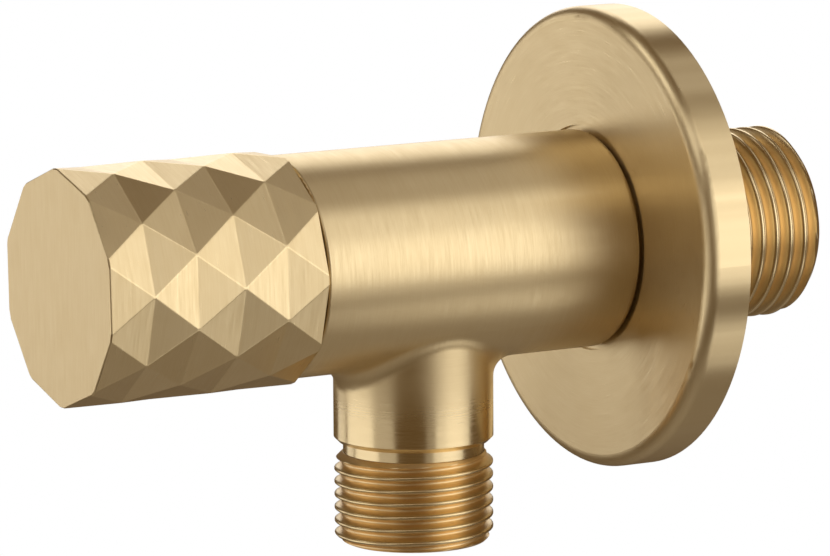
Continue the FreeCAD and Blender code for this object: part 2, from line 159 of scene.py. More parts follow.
class ThreadSizes(bpy.types.PropertyGroup):
    """A pipe thread's sizes."""

    crest_radius: length("Crest radius", "Axis to the crests", INLET["dims"]["r_mm"])
    pitch: length("Pitch", "Distance between crests", 1.8143)
    thread_length: length("Length", "Threaded length with its lead-in chamfer", INLET["dims"]["length_mm"])
    chamfer: length("Chamfer", "Lead-in chamfer", 1.0)
    inner_radius: length("Inner radius", "Inside of the threaded sleeve", 8.0)
    phase: FloatProperty(name="First crest", description="Side where a crest starts", default=0.0, subtype="ANGLE")


class StudioSettings(bpy.types.PropertyGroup):
    """Camera, lamps and floor."""

    azimuth: FloatProperty(name="Azimuth", description="Camera's side", default=math.radians(60.291), subtype="ANGLE")
    elevation: FloatProperty(name="Elevation", description="Camera's height angle", default=math.radians(9.4854),
                             subtype="ANGLE")
    roll: FloatProperty(name="Roll", description="Camera's roll", default=math.radians(-0.3525), subtype="ANGLE")
    distance: length("Distance", "Camera to its target", 586.75)
    lens: FloatProperty(name="Lens", description="Focal length in millimetres", default=237.85, min=1.0)
    room: colour("Room", "Light that the dim room gives", (0.130, 0.084, 0.040))
    lamp_tint: colour("Lamp tint", "Colour of the softboxes", (1.0, 0.995, 0.98))
    floor_drop: length("Floor drop", "Floor below the object's lowest point", 900.0)


# ---------------------------------------------------------------- node helpers
def new_group(name, kind, inputs, outputs):
    """A node group with named sockets; returns the tree and its two end nodes."""
    tree = bpy.data.node_groups.new(name, kind)
    for socket_name, socket_type, default in inputs:
        socket = tree.interface.new_socket(socket_name, in_out="INPUT", socket_type=socket_type)
        if default is not None:
            socket.default_value = default
    for socket_name, socket_type in outputs:
        tree.interface.new_socket(socket_name, in_out="OUTPUT", socket_type=socket_type)
    start = tree.nodes.new("NodeGroupInput")
    end = tree.nodes.new("NodeGroupOutput")
    start.location = (-900, 0)
    end.location = (900, 0)
    return tree, start, end


def put(tree, value, socket):
    """Links an output to a socket, or sets the socket's value."""
    if isinstance(value, bpy.types.NodeSocket):
        tree.links.new(value, socket)
    elif value is not None:
        socket.default_value = value


def maths(tree, operation, first, second=None, third=None):
    """One Math node; each term is a socket or a number."""
    node = tree.nodes.new("ShaderNodeMath")
    node.operation = operation
    for value, socket in zip((first, second, third), node.inputs):
        put(tree, value, socket)
    return node.outputs[0]


def vector_maths(tree, operation, first, second=None):
    """One Vector Math node."""
    node = tree.nodes.new("ShaderNodeVectorMath")
    node.operation = operation
    put(tree, first, node.inputs[0])
    put(tree, second, node.inputs[1])
    return node.outputs["Value"] if operation in ("LENGTH", "DOT_PRODUCT") else node.outputs["Vector"]


def combine(tree, x, y, z):
    """A vector from three numbers."""
    node = tree.nodes.new("ShaderNodeCombineXYZ")
    for value, socket in zip((x, y, z), node.inputs):
        put(tree, value, socket)
    return node.outputs[0]


def separate(tree, vector):
    """The three numbers of a vector."""
    node = tree.nodes.new("ShaderNodeSeparateXYZ")
    put(tree, vector, node.inputs[0])
    return node.outputs[0], node.outputs[1], node.outputs[2]


def noise(tree, vector, detail=2.0, roughness=0.55):
    """A noise value of about 0 to 1 at a ready-scaled vector."""
    node = tree.nodes.new("ShaderNodeTexNoise")
    put(tree, vector, node.inputs["Vector"])
    node.inputs["Scale"].default_value = 1.0
    node.inputs["Detail"].default_value = detail
    node.inputs["Roughness"].default_value = roughness
    return node.outputs["Fac"]


def remap(tree, value, low, high, to_low, to_high, smooth=False):
    """Map Range with clamping."""
    node = tree.nodes.new("ShaderNodeMapRange")
    node.interpolation_type = "SMOOTHSTEP" if smooth else "LINEAR"
    for item, socket in zip((value, low, high, to_low, to_high), node.inputs):
        put(tree, item, socket)
    return node.outputs[0]


def mix_colour(tree, factor, first, second):
    """A colour between two colours."""
    node = tree.nodes.new("ShaderNodeMix")
    node.data_type = "RGBA"
    put(tree, factor, node.inputs[0])
    put(tree, first, node.inputs[6])
    put(tree, second, node.inputs[7])
    return node.outputs[2]


# ---------------------------------------------------------------- shared shader effects
def brush_lines_group():
    """Fine brush lines: an even grain, longer scratches and soft patches, on ready-scaled coordinates."""
    tree, start, end = new_group(
        "Brush Lines", "ShaderNodeTree",
        [("Across", "NodeSocketVector", None), ("Spacing", "NodeSocketFloat", 0.00013),
         ("Line Length", "NodeSocketFloat", 0.007), ("Scratches", "NodeSocketFloat", 0.5)],
        [("Grain", "NodeSocketFloat"), ("Patches", "NodeSocketFloat")])
    across, along_a, along_b = separate(tree, start.outputs["Across"])
    fine = maths(tree, "DIVIDE", across, start.outputs["Spacing"])
    slow_a = maths(tree, "DIVIDE", along_a, start.outputs["Line Length"])
    slow_b = maths(tree, "DIVIDE", along_b, start.outputs["Line Length"])
    grain = noise(tree, combine(tree, fine, slow_a, slow_b), 3.0, 0.6)
    coarse = maths(tree, "MULTIPLY", fine, 0.23)
    scratch = noise(tree, combine(tree, coarse, maths(tree, "MULTIPLY", slow_a, 0.6),
                                  maths(tree, "MULTIPLY", slow_b, 0.6)), 4.0, 0.7)
    scratch = remap(tree, scratch, 0.42, 0.62, 0.0, 1.0, True)
    weight = maths(tree, "MULTIPLY", start.outputs["Scratches"], 0.35)
    both = maths(tree, "MULTIPLY_ADD", scratch, weight, grain)
    tree.links.new(maths(tree, "SUBTRACT", both, maths(tree, "MULTIPLY", weight, 0.5)), end.inputs["Grain"])
    patches = noise(tree, combine(tree, maths(tree, "MULTIPLY", fine, 0.02), slow_a, slow_b), 2.0, 0.5)
    tree.links.new(patches, end.inputs["Patches"])
    return tree


def plating_tone_group():
    """The plating's colour: lighter and deeper gold along the brush lines and in soft patches."""
    tree, start, end = new_group(
        "Plating Tone", "ShaderNodeTree",
        [("Grain", "NodeSocketFloat", 0.5), ("Patches", "NodeSocketFloat", 0.5),
         ("Light", "NodeSocketColor", (0.8, 0.6, 0.34, 1)), ("Deep", "NodeSocketColor", (0.69, 0.49, 0.24, 1)),
         ("Contrast", "NodeSocketFloat", 0.5)],
        [("Colour", "NodeSocketColor"), ("Roughness Shift", "NodeSocketFloat")])
    lines = remap(tree, start.outputs["Grain"], 0.34, 0.70, 1.0, 0.0)
    patches = remap(tree, start.outputs["Patches"], 0.30, 0.70, 0.5, -0.1)
    factor = maths(tree, "MULTIPLY", maths(tree, "ADD", lines, patches), start.outputs["Contrast"])
    factor = maths(tree, "MINIMUM", maths(tree, "MAXIMUM", factor, 0.0), 1.0)
    tree.links.new(mix_colour(tree, factor, start.outputs["Light"], start.outputs["Deep"]), end.inputs["Colour"])
    tree.links.new(remap(tree, start.outputs["Grain"], 0.25, 0.75, 0.07, -0.05), end.inputs["Roughness Shift"])
    return tree


def speckle_group():
    """Soft tone and roughness drift for plain, rubber, plastic and ceramic pieces."""
    tree, start, end = new_group(
        "Soft Speckle", "ShaderNodeTree",
        [("Vector", "NodeSocketVector", None), ("Size", "NodeSocketFloat", 0.0006),
         ("Colour A", "NodeSocketColor", (0.5, 0.5, 0.5, 1)), ("Colour B", "NodeSocketColor", (0.4, 0.4, 0.4, 1)),
         ("Rough", "NodeSocketFloat", 0.5), ("Rough Drift", "NodeSocketFloat", 0.1)],
        [("Colour", "NodeSocketColor"), ("Roughness", "NodeSocketFloat"), ("Height", "NodeSocketFloat")])
    scale = maths(tree, "DIVIDE", 1.0, start.outputs["Size"])
    scaled = vector_maths(tree, "MULTIPLY", start.outputs["Vector"], combine(tree, scale, scale, scale))
    value = noise(tree, scaled, 4.0, 0.6)
    tree.links.new(mix_colour(tree, remap(tree, value, 0.3, 0.7, 0.0, 1.0), start.outputs["Colour A"],
                              start.outputs["Colour B"]), end.inputs["Colour"])
    drift = maths(tree, "MULTIPLY", maths(tree, "SUBTRACT", value, 0.5), start.outputs["Rough Drift"])
    tree.links.new(maths(tree, "ADD", start.outputs["Rough"], drift), end.inputs["Roughness"])
    tree.links.new(value, end.inputs["Height"])
    return tree


GROUPS = {}


def shared(name):
    """A shared effect, built on first use."""
    makers = {"Brush Lines": brush_lines_group, "Plating Tone": plating_tone_group, "Soft Speckle": speckle_group}
    if name not in GROUPS:
        GROUPS[name] = makers[name]()
    return GROUPS[name]


def placed(tree, name):
    """A shared effect placed in a material."""
    node = tree.nodes.new("ShaderNodeGroup")
    node.node_tree = shared(name)
    return node


# ---------------------------------------------------------------- materials
def gold():
    """The finish settings."""
    return bpy.context.scene.gold_finish


def new_material(name):
    """An empty node material with its Principled shader, and the Object coordinates."""
    material = bpy.data.materials.new(name)
    material.use_nodes = True
    tree = material.node_tree
    shader = tree.nodes["Principled BSDF"]
    coordinates = tree.nodes.new("ShaderNodeTexCoord")
    return material, tree, shader, coordinates.outputs["Object"]


def add_relief(tree, shader, height, strength, distance):
    """Small relief from a height value."""
    relief = tree.nodes.new("ShaderNodeBump")
    relief.inputs["Strength"].default_value = strength
    relief.inputs["Distance"].default_value = distance
    put(tree, height, relief.inputs["Height"])
    put(tree, relief.outputs["Normal"], shader.inputs["Normal"])


def plated_lines(tree, parts, spacing, scratches, light, deep, contrast):
    """The brush lines and the plating's tone along them, as their two group nodes."""
    lines = placed(tree, "Brush Lines")
    put(tree, combine(tree, *parts), lines.inputs["Across"])
    lines.inputs["Spacing"].default_value = spacing
    lines.inputs["Line Length"].default_value = gold().line_length
    lines.inputs["Scratches"].default_value = scratches
    tone = placed(tree, "Plating Tone")
    put(tree, lines.outputs["Grain"], tone.inputs["Grain"])
    put(tree, lines.outputs["Patches"], tone.inputs["Patches"])
    tone.inputs["Light"].default_value = (*light, 1)
    tone.inputs["Deep"].default_value = (*deep, 1)
    tone.inputs["Contrast"].default_value = contrast
    return lines, tone


def brushed_metal(name, light, deep, across, axis=(0, 1, 0), centre=(0, 0, 0), roughness=0.34,
                  anisotropy=0.6, contrast=0.5, bump=0.10, scratches=0.5, rougher_root=None):
    """A brushed plating. across gives the brushing: 'axial' rings round the axis, 'radial'
    concentric rings on a face, or 'side' straight lines down a face. rougher_root gives the
    heights between which the roughness rises, and the roughness at the second."""
    material, tree, shader, place = new_material(name)
    place = vector_maths(tree, "SUBTRACT", place, centre)
    x, y, z = separate(tree, place)
    if across == "axial":
        parts = (y, x, z) if axis[1] else (z, x, y)
    elif across == "radial":
        radius = vector_maths(tree, "LENGTH", combine(tree, x, 0.0, z))
        parts = (radius, x, z)
    else:
        parts = (x, z, y)
    lines, tone = plated_lines(tree, parts, gold().line_spacing, scratches, light, deep, contrast)
    put(tree, tone.outputs["Colour"], shader.inputs["Base Color"])
    if rougher_root:
        end_z, root_z, root_roughness = rougher_root
        roughness = remap(tree, z, end_z, root_z, roughness, root_roughness, True)
    put(tree, maths(tree, "ADD", tone.outputs["Roughness Shift"], roughness), shader.inputs["Roughness"])
    add_relief(tree, shader, lines.outputs["Grain"], bump, 0.00008)
    shader.inputs["Metallic"].default_value = 1.0
    if anisotropy:
        shader.inputs["Anisotropic"].default_value = anisotropy
        along = (0.0, 0.0, 1.0) if across == "side" else vector_maths(tree, "CROSS_PRODUCT", axis, place)
        put(tree, across_lines(tree, along), shader.inputs["Tangent"])
    return material


def across_lines(tree, along):
    """The direction on the surface that crosses the brush lines, in which highlights spread."""
    to_world = tree.nodes.new("ShaderNodeVectorTransform")
    to_world.vector_type = "VECTOR"
    to_world.convert_from = "OBJECT"
    to_world.convert_to = "WORLD"
    put(tree, along, to_world.inputs[0])
    normal = tree.nodes.new("ShaderNodeNewGeometry").outputs["Normal"]
    return vector_maths(tree, "NORMALIZE", vector_maths(tree, "CROSS_PRODUCT", normal, to_world.outputs[0]))


def speckled(name, first, second, rough, drift=0.1, size=0.0006, bump=0.08, metallic=0.0, specular=0.5):
    """A plain moulded, lapped, turned or pressed finish."""
    material, tree, shader, place = new_material(name)
    speckle = placed(tree, "Soft Speckle")
    put(tree, place, speckle.inputs["Vector"])
    speckle.inputs["Size"].default_value = size
    speckle.inputs["Colour A"].default_value = (*first, 1)
    speckle.inputs["Colour B"].default_value = (*second, 1)
    speckle.inputs["Rough"].default_value = rough
    speckle.inputs["Rough Drift"].default_value = drift
    put(tree, speckle.outputs["Colour"], shader.inputs["Base Color"])
    put(tree, speckle.outputs["Roughness"], shader.inputs["Roughness"])
    add_relief(tree, shader, speckle.outputs["Height"], bump, 0.00005)
    shader.inputs["Metallic"].default_value = metallic
    shader.inputs["Specular IOR Level"].default_value = specular
    return material


def thread_metal(name, axis, centre):
    """Turned and plated thread: glossier than the brushed faces, with painted shade between the crests, a warmer and
    more saturated gold in place of the shaded, gold-on-gold reflected light in the grooves.
    """
    material, tree, shader, place = new_material(name)
    x, y, z = separate(tree, vector_maths(tree, "SUBTRACT", place, centre))
    depth = tree.nodes.new("ShaderNodeAttribute")
    depth.attribute_type = "GEOMETRY"
    depth.attribute_name = "groove_depth"
    parts = (y, x, z) if axis[1] else (z, x, y)
    finer = gold().line_spacing * 0.7
    lines, tone = plated_lines(tree, parts, finer, 0.2, gold().gold, gold().deep_gold, 0.35)
    # Painted shade: deeper in the groove the colour moves to the groove shade gold, in place of the shade and
    # gold-on-gold reflection there.
    groove_shaded_colour = mix_colour(tree, remap(tree, depth.outputs["Fac"], 0.15, 0.85, 0.0, 1.0, True),
                      tone.outputs["Colour"], (*gold().groove_shade_gold, 1))
    put(tree, groove_shaded_colour, shader.inputs["Base Color"])
    put(tree, remap(tree, depth.outputs["Fac"], 0.0, 1.0, 0.27, 0.36), shader.inputs["Roughness"])
    add_relief(tree, shader, lines.outputs["Grain"], 0.08, 0.00005)
    shader.inputs["Metallic"].default_value = 1.0
    return material


# ---------------------------------------------------------------- Geometry Nodes
def cylinder_node(tree, vertices, radius, depth, segments=1):
    """A closed cylinder along Z."""
    node = tree.nodes.new("GeometryNodeMeshCylinder")
    node.fill_type = "NGON"
    put(tree, vertices, node.inputs["Vertices"])
    put(tree, segments, node.inputs["Side Segments"])
    put(tree, radius, node.inputs["Radius"])
    put(tree, depth, node.inputs["Depth"])
    return node.outputs["Mesh"]


def moved(tree, geometry, translation, rotation):
    """A geometry turned and then moved."""
    node = tree.nodes.new("GeometryNodeTransform")
    put(tree, geometry, node.inputs["Geometry"])
    put(tree, translation, node.inputs["Translation"])
    put(tree, rotation, node.inputs["Rotation"])
    return node.outputs["Geometry"]


def boolean(tree, operation, first, others):
    """Exact boolean of one mesh with others."""
    node = tree.nodes.new("GeometryNodeMeshBoolean")
    node.operation = operation
    node.solver = "EXACT"
    if operation == "DIFFERENCE":
        put(tree, first, node.inputs["Mesh 1"])
        for mesh in others:
            tree.links.new(mesh, node.inputs["Mesh 2"])
    else:
        for mesh in [first, *others]:
            tree.links.new(mesh, node.inputs["Mesh 2"])
    return node.outputs["Mesh"]


def finished(tree, end, geometry, material_socket):
    """Ends a tree in Realize Instances and Set Material."""
    realize = tree.nodes.new("GeometryNodeRealizeInstances")
    paint = tree.nodes.new("GeometryNodeSetMaterial")
    tree.links.new(geometry, realize.inputs[0])
    tree.links.new(realize.outputs[0], paint.inputs["Geometry"])
    tree.links.new(material_socket, paint.inputs["Material"])
    tree.links.new(paint.outputs[0], end.inputs["Geometry"])


def facet_knob_tree():
    """Rings of points, each turned half a step from the last, trimmed, hollowed and drilled."""
    tree, start, end = new_group(
        "Facet Knob", "GeometryNodeTree",
        [("Sides", "NodeSocketInt", 10), ("Rows", "NodeSocketInt", 5), ("Row Pitch", "NodeSocketFloat", 0.005234),
         ("Point Radius", "NodeSocketFloat", 0.01255), ("First Point", "NodeSocketFloat", 0.0),
         ("Front", "NodeSocketFloat", 0.0), ("Length", "NodeSocketFloat", 0.0252),
         ("Front Trim", "NodeSocketFloat", 0.0004), ("Front Corner", "NodeSocketFloat", 0.01238),
         ("Cavity Radius", "NodeSocketFloat", 0.010),
         ("Front Wall", "NodeSocketFloat", 0.003), ("Grub Radius", "NodeSocketFloat", 0.002),
         ("Grub Side", "NodeSocketFloat", 0.0), ("Material", "NodeSocketMaterial", None)],
        [("Geometry", "NodeSocketGeometry")])
    given = start.outputs
    upright = (math.radians(90), 0.0, 0.0)
    span = maths(tree, "MULTIPLY", given["Rows"], given["Row Pitch"])
    blank = cylinder_node(tree, given["Sides"], given["Point Radius"], span, given["Rows"])
    position = tree.nodes.new("GeometryNodeInputPosition").outputs[0]
    height = separate(tree, position)[2]
    from_front = maths(tree, "SUBTRACT", maths(tree, "MULTIPLY", span, 0.5), height)
    ring = maths(tree, "ROUND", maths(tree, "DIVIDE", from_front, given["Row Pitch"]))
    half_step = maths(tree, "DIVIDE", math.pi, given["Sides"])
    turn = maths(tree, "MULTIPLY_ADD", ring, half_step, given["First Point"])
    rotate = tree.nodes.new("ShaderNodeVectorRotate")
    rotate.rotation_type = "Z_AXIS"
    put(tree, position, rotate.inputs["Vector"])
    put(tree, turn, rotate.inputs["Angle"])
    twist = tree.nodes.new("GeometryNodeSetPosition")
    put(tree, blank, twist.inputs["Geometry"])
    put(tree, rotate.outputs[0], twist.inputs["Position"])
    split = tree.nodes.new("GeometryNodeTriangulate")
    split.quad_method = "SHORTEST_DIAGONAL"
    put(tree, twist.outputs[0], split.inputs[0])
    untrimmed_middle = maths(tree, "MULTIPLY_ADD", span, 0.5, given["Front"])
    blank_middle = maths(tree, "SUBTRACT", untrimmed_middle, given["Front Trim"])
    faceted = moved(tree, split.outputs[0], combine(tree, 0.0, blank_middle, 0.0), upright)
    middle = maths(tree, "MULTIPLY_ADD", given["Length"], 0.5, given["Front"])
    turned_end = tree.nodes.new("GeometryNodeMeshCone")
    turned_end.fill_type = "NGON"
    put(tree, ROUND_SIDES, turned_end.inputs["Vertices"])
    put(tree, given["Front Corner"], turned_end.inputs["Radius Top"])
    put(tree, maths(tree, "MULTIPLY_ADD", given["Length"], 0.6, given["Front Corner"]),
        turned_end.inputs["Radius Bottom"])
    put(tree, given["Length"], turned_end.inputs["Depth"])
    rear_y = maths(tree, "ADD", given["Front"], given["Length"])
    slab = moved(tree, turned_end.outputs["Mesh"], combine(tree, 0.0, rear_y, 0.0), upright)
    trimmed = boolean(tree, "INTERSECT", faceted, [slab])
    cavity_middle = maths(tree, "ADD", middle, given["Front Wall"])
    cavity = moved(tree, cylinder_node(tree, ROUND_SIDES, given["Cavity Radius"], given["Length"]),
                   combine(tree, 0.0, cavity_middle, 0.0), upright)
    grub_y = maths(tree, "SUBTRACT", maths(tree, "MULTIPLY_ADD", given["Row Pitch"], 2.0, given["Front"]),
                   given["Front Trim"])
    drill = moved(tree, cylinder_node(tree, 40, given["Grub Radius"], given["Point Radius"]),
                  combine(tree, given["Point Radius"], 0.0, 0.0), (0.0, math.radians(90), 0.0))
    turned_drill = moved(tree, drill, combine(tree, 0.0, grub_y, 0.0),
                         combine(tree, 0.0, maths(tree, "MULTIPLY", given["Grub Side"], -1.0), 0.0))
    hollow = boolean(tree, "DIFFERENCE", trimmed, [cavity, turned_drill])
    finished(tree, end, hollow, given["Material"])
    return tree


def pipe_thread_tree():
    """A threaded sleeve along Z from 0: a helix of rounded crests, a run-out, a lead-in chamfer and a wall."""
    tree, start, end = new_group(
        "Pipe Thread", "GeometryNodeTree",
        [("Crest Radius", "NodeSocketFloat", 0.01), ("Pitch", "NodeSocketFloat", 0.0018),
         ("Depth", "NodeSocketFloat", 0.00116), ("Length", "NodeSocketFloat", 0.0188),
         ("Chamfer", "NodeSocketFloat", 0.001), ("Inner Radius", "NodeSocketFloat", 0.008),
         ("Phase", "NodeSocketFloat", 0.0), ("Around", "NodeSocketInt", THREAD_SIDES),
         ("Along", "NodeSocketInt", 240),
         ("Place", "NodeSocketVector", None), ("Turn", "NodeSocketVector", None),
         ("Material", "NodeSocketMaterial", None)],
        [("Geometry", "NodeSocketGeometry")])
    given = start.outputs
    rows = maths(tree, "ADD", given["Along"], 3.0)
    grid = tree.nodes.new("GeometryNodeMeshGrid")
    grid.inputs["Size X"].default_value = 1.0
    grid.inputs["Size Y"].default_value = 1.0
    put(tree, given["Around"], grid.inputs["Vertices X"])
    put(tree, rows, grid.inputs["Vertices Y"])
    flat_x, flat_y, _ = separate(tree, tree.nodes.new("GeometryNodeInputPosition").outputs[0])
    angle = maths(tree, "MULTIPLY", maths(tree, "ADD", flat_x, 0.5), 2 * math.pi)
    last = maths(tree, "SUBTRACT", rows, 1.0)
    row = maths(tree, "ROUND", maths(tree, "MULTIPLY", maths(tree, "ADD", flat_y, 0.5), last))
    share = maths(tree, "DIVIDE", maths(tree, "SUBTRACT", row, 1.0), maths(tree, "SUBTRACT", given["Along"], 1.0))
    share = maths(tree, "MINIMUM", maths(tree, "MAXIMUM", share, 0.0), 1.0)
    height = maths(tree, "MULTIPLY", share, given["Length"])
    lap = maths(tree, "SUBTRACT", maths(tree, "DIVIDE", height, given["Pitch"]),
                maths(tree, "DIVIDE", maths(tree, "SUBTRACT", angle, given["Phase"]), 2 * math.pi))
    part_lap = maths(tree, "FRACT", maths(tree, "ADD", lap, 64.0))
    wave = maths(tree, "ABSOLUTE", maths(tree, "SUBTRACT", maths(tree, "MULTIPLY", part_lap, 2.0), 1.0))
    hump = remap(tree, wave, 0.10, 0.90, 0.0, 1.0, True)
    sunk = maths(tree, "MULTIPLY", maths(tree, "SUBTRACT", 1.0, hump), given["Depth"])
    threaded = maths(tree, "SUBTRACT", given["Crest Radius"], sunk)
    root = maths(tree, "SUBTRACT", given["Crest Radius"], given["Depth"])
    run_out = maths(tree, "ADD", root, height)
    to_tip = maths(tree, "SUBTRACT", given["Length"], height)
    tip = maths(tree, "ADD", maths(tree, "SUBTRACT", given["Crest Radius"], given["Chamfer"]), to_tip)
    outer = maths(tree, "MINIMUM", maths(tree, "MINIMUM", threaded, run_out), tip)
    inside_start = maths(tree, "LESS_THAN", row, 0.5)
    inside_end = maths(tree, "GREATER_THAN", row, maths(tree, "SUBTRACT", last, 1.5))
    back_at_start = maths(tree, "GREATER_THAN", row, maths(tree, "SUBTRACT", last, 0.5))
    inside = maths(tree, "MAXIMUM", inside_start, inside_end)
    gap = maths(tree, "SUBTRACT", given["Inner Radius"], outer)
    radius = maths(tree, "MULTIPLY_ADD", inside, gap, outer)
    height = maths(tree, "MULTIPLY", height, maths(tree, "SUBTRACT", 1.0, back_at_start))
    rolled = combine(tree, maths(tree, "MULTIPLY", radius, maths(tree, "COSINE", angle)),
                     maths(tree, "MULTIPLY", radius, maths(tree, "SINE", angle)), height)
    groove = maths(tree, "DIVIDE", maths(tree, "SUBTRACT", given["Crest Radius"], outer), given["Depth"])
    capture = tree.nodes.new("GeometryNodeCaptureAttribute")
    capture.domain = "POINT"
    capture.capture_items.new("FLOAT", "Groove")
    put(tree, grid.outputs["Mesh"], capture.inputs["Geometry"])
    put(tree, groove, capture.inputs["Groove"])
    place = tree.nodes.new("GeometryNodeSetPosition")
    put(tree, capture.outputs["Geometry"], place.inputs["Geometry"])
    put(tree, rolled, place.inputs["Position"])
    store = tree.nodes.new("GeometryNodeStoreNamedAttribute")
    store.data_type = "FLOAT"
    store.domain = "POINT"
    store.inputs["Name"].default_value = "groove_depth"
    store_value = [s for s in store.inputs if s.name == "Value" and s.enabled][0]
    put(tree, place.outputs[0], store.inputs["Geometry"])
    put(tree, capture.outputs["Groove"], store_value)
    merge = tree.nodes.new("GeometryNodeMergeByDistance")
    merge.inputs["Distance"].default_value = WELD
    put(tree, store.outputs[0], merge.inputs["Geometry"])
    smooth = tree.nodes.new("GeometryNodeSetShadeSmooth")
    put(tree, merge.outputs[0], smooth.inputs["Geometry"])
    put(tree, True, smooth.inputs["Shade Smooth"])
    finished(tree, end, moved(tree, smooth.outputs[0], given["Place"], given["Turn"]), given["Material"])
    return tree


def grown(name, tree, values):
    """The plain mesh object that a Geometry Nodes tree makes from named input values."""
    seed_mesh = bpy.data.meshes.new(name + "_seed")
    seed = bpy.data.objects.new(name + "_seed", seed_mesh)
    bpy.context.scene.collection.objects.link(seed)
    modifier = seed.modifiers.new(tree.name, "NODES")
    modifier.node_group = tree
    for item in tree.interface.items_tree:
        if item.item_type == "SOCKET" and item.in_out == "INPUT" and item.name in values:
            modifier[item.identifier] = values[item.name]
    seed.update_tag()
    bpy.context.view_layer.update()
    ready = seed.evaluated_get(bpy.context.evaluated_depsgraph_get())
    mesh = bpy.data.meshes.new_from_object(ready)
    mesh.name = name
    seed.modifiers.remove(modifier)
    bpy.data.objects.remove(seed)
    piece = bpy.data.objects.new(name, mesh)
    bpy.context.scene.collection.objects.link(piece)
    if not mesh.polygons:
        raise RuntimeError(name + " came out empty")
    return piece


# ---------------------------------------------------------------- mesh helpers
def welded(mesh, distance):
    """A mesh's triangles, joined where they meet, ready to edit."""
    build = bmesh.new()
    build.from_mesh(mesh)
    bmesh.ops.remove_doubles(build, verts=build.verts, dist=distance)
    return build


def paint(obj, *materials):
    """Gives an object its materials, in slot order."""
    while len(obj.material_slots) < len(materials):
        obj.data.materials.append(None)
    for slot, material in zip(obj.material_slots, materials):
        slot.link = "OBJECT"
        slot.material = material


# ---------------------------------------------------------------- studio
# name, degrees to the camera's right, degrees up, then metres away, wide and high, and the radiance
LAMPS = (
    ("right_softbox", 60.0, 5.0, 0.75, 0.80, 0.66, 0.95),
    ("right_core", 62.0, 7.0, 0.70, 0.38, 0.46, 0.65),
    ("right_feather", 26.0, 4.0, 0.80, 0.20, 0.60, 0.28),
    ("left_softbox", -84.0, -10.0, 0.75, 0.70, 0.44, 1.00),
    ("left_feather", -42.0, -4.0, 0.80, 0.42, 0.56, 0.45),
    ("far_left_softbox", -126.0, 2.0, 0.75, 0.32, 0.46, 0.88),
    ("high_left_softbox", -84.0, 40.0, 0.75, 0.44, 0.32, 1.40),
    ("high_front_panel", -30.0, 40.0, 0.75, 0.50, 0.34, 0.90),
    ("high_right_panel", 66.0, 42.0, 0.75, 0.50, 0.34, 1.10),
    ("high_centre_panel", 18.0, 52.0, 0.75, 0.44, 0.30, 0.45),
    ("high_rear_panel", 118.0, 60.0, 0.75, 0.40, 0.32, 0.50),
    ("low_right_panel", 70.0, -40.0, 0.75, 0.44, 0.26, 0.80),
    ("rear_softbox", 180.0, 26.0, 0.80, 0.42, 0.66, 1.45),
)


class VALVE_OT_studio(bpy.types.Operator):
    """Makes the camera, the soft lamps, the dim room and the pale floor"""

    bl_idname = "valve.studio"
    bl_label = "Studio"

    def execute(self, context):
        studio = context.scene.valve_studio
        self.make_camera(context, studio)
        self.make_room(context, studio)
        self.make_lamps(context, studio)
        self.make_stage(context, studio)
        return {"FINISHED"}

    @staticmethod
    def make_camera(context, studio):
        azimuth, elevation, roll = studio.azimuth, studio.elevation, studio.roll
        back = Vector((math.sin(azimuth) * math.cos(elevation), -math.cos(azimuth) * math.cos(elevation),
                       math.sin(elevation)))
        right = (-back).cross(Vector((0, 0, 1))).normalized()
        up = right.cross(-back)
        rolled_right = right * math.cos(roll) + up * math.sin(roll)
        rolled_up = up * math.cos(roll) - right * math.sin(roll)
        data = bpy.data.cameras.new("camera")
        data.lens = studio.lens
        data.sensor_width = 36.0
        data.clip_start = 0.01
        data.clip_end = 20.0
        camera = bpy.data.objects.new("camera", data)
        context.scene.collection.objects.link(camera)
        matrix = camera.matrix_world.to_3x3()
        for i, direction in enumerate((rolled_right, rolled_up, back)):
            for j in range(3):
                matrix[j][i] = direction[j]
        camera.matrix_world = matrix.to_4x4()
        camera.location = CAMERA_AIM + back * studio.distance
        context.scene.camera = camera

    @staticmethod
    def make_room(context, studio):
        world = bpy.data.worlds.new("studio")
        context.scene.world = world
        world.use_nodes = True
        tree = world.node_tree
        tree.nodes.clear()
        output = tree.nodes.new("ShaderNodeOutputWorld")
        dim = tree.nodes.new("ShaderNodeBackground")
        dim.inputs["Color"].default_value = (*studio.room, 1)
        white = tree.nodes.new("ShaderNodeBackground")
        white.inputs["Color"].default_value = (1, 1, 1, 1)
        path = tree.nodes.new("ShaderNodeLightPath")
        mix = tree.nodes.new("ShaderNodeMixShader")
        tree.links.new(path.outputs["Is Camera Ray"], mix.inputs[0])
        tree.links.new(dim.outputs[0], mix.inputs[1])
        tree.links.new(white.outputs[0], mix.inputs[2])
        tree.links.new(mix.outputs[0], output.inputs["Surface"])

    @staticmethod
    def make_lamps(context, studio):
        for name, side, elevation, distance, width, height, radiance in LAMPS:
            a, e = studio.azimuth + math.radians(side), math.radians(elevation)
            away = Vector((math.sin(a) * math.cos(e), -math.cos(a) * math.cos(e), math.sin(e)))
            data = bpy.data.lights.new(name, "AREA")
            data.shape = "RECTANGLE"
            data.size = width
            data.size_y = height
            data.energy = radiance * math.pi * width * height
            data.color = studio.lamp_tint
            lamp = bpy.data.objects.new(name, data)
            context.scene.collection.objects.link(lamp)
            lamp.location = LAMP_AIM + away * distance
            lamp.rotation_euler = away.to_track_quat("Z", "Y").to_euler()
            lamp.visible_camera = False

    @staticmethod
    def make_stage(context, studio):
        floor_z = CAD_LOW.z - studio.floor_drop
        pale = stage_material("pale_floor", FLOOR_TONE, FLOOR_GLOW)
        build = bmesh.new()
        bmesh.ops.create_circle(build, cap_ends=True, segments=ROUND_SIDES, radius=3.0)
        bmesh.ops.translate(build, verts=build.verts, vec=(0, 0, floor_z))
        mesh = bpy.data.meshes.new("floor")
        build.to_mesh(mesh)
        build.free()
        floor = bpy.data.objects.new("floor", mesh)
        context.scene.collection.objects.link(floor)
        floor.data.materials.append(pale)


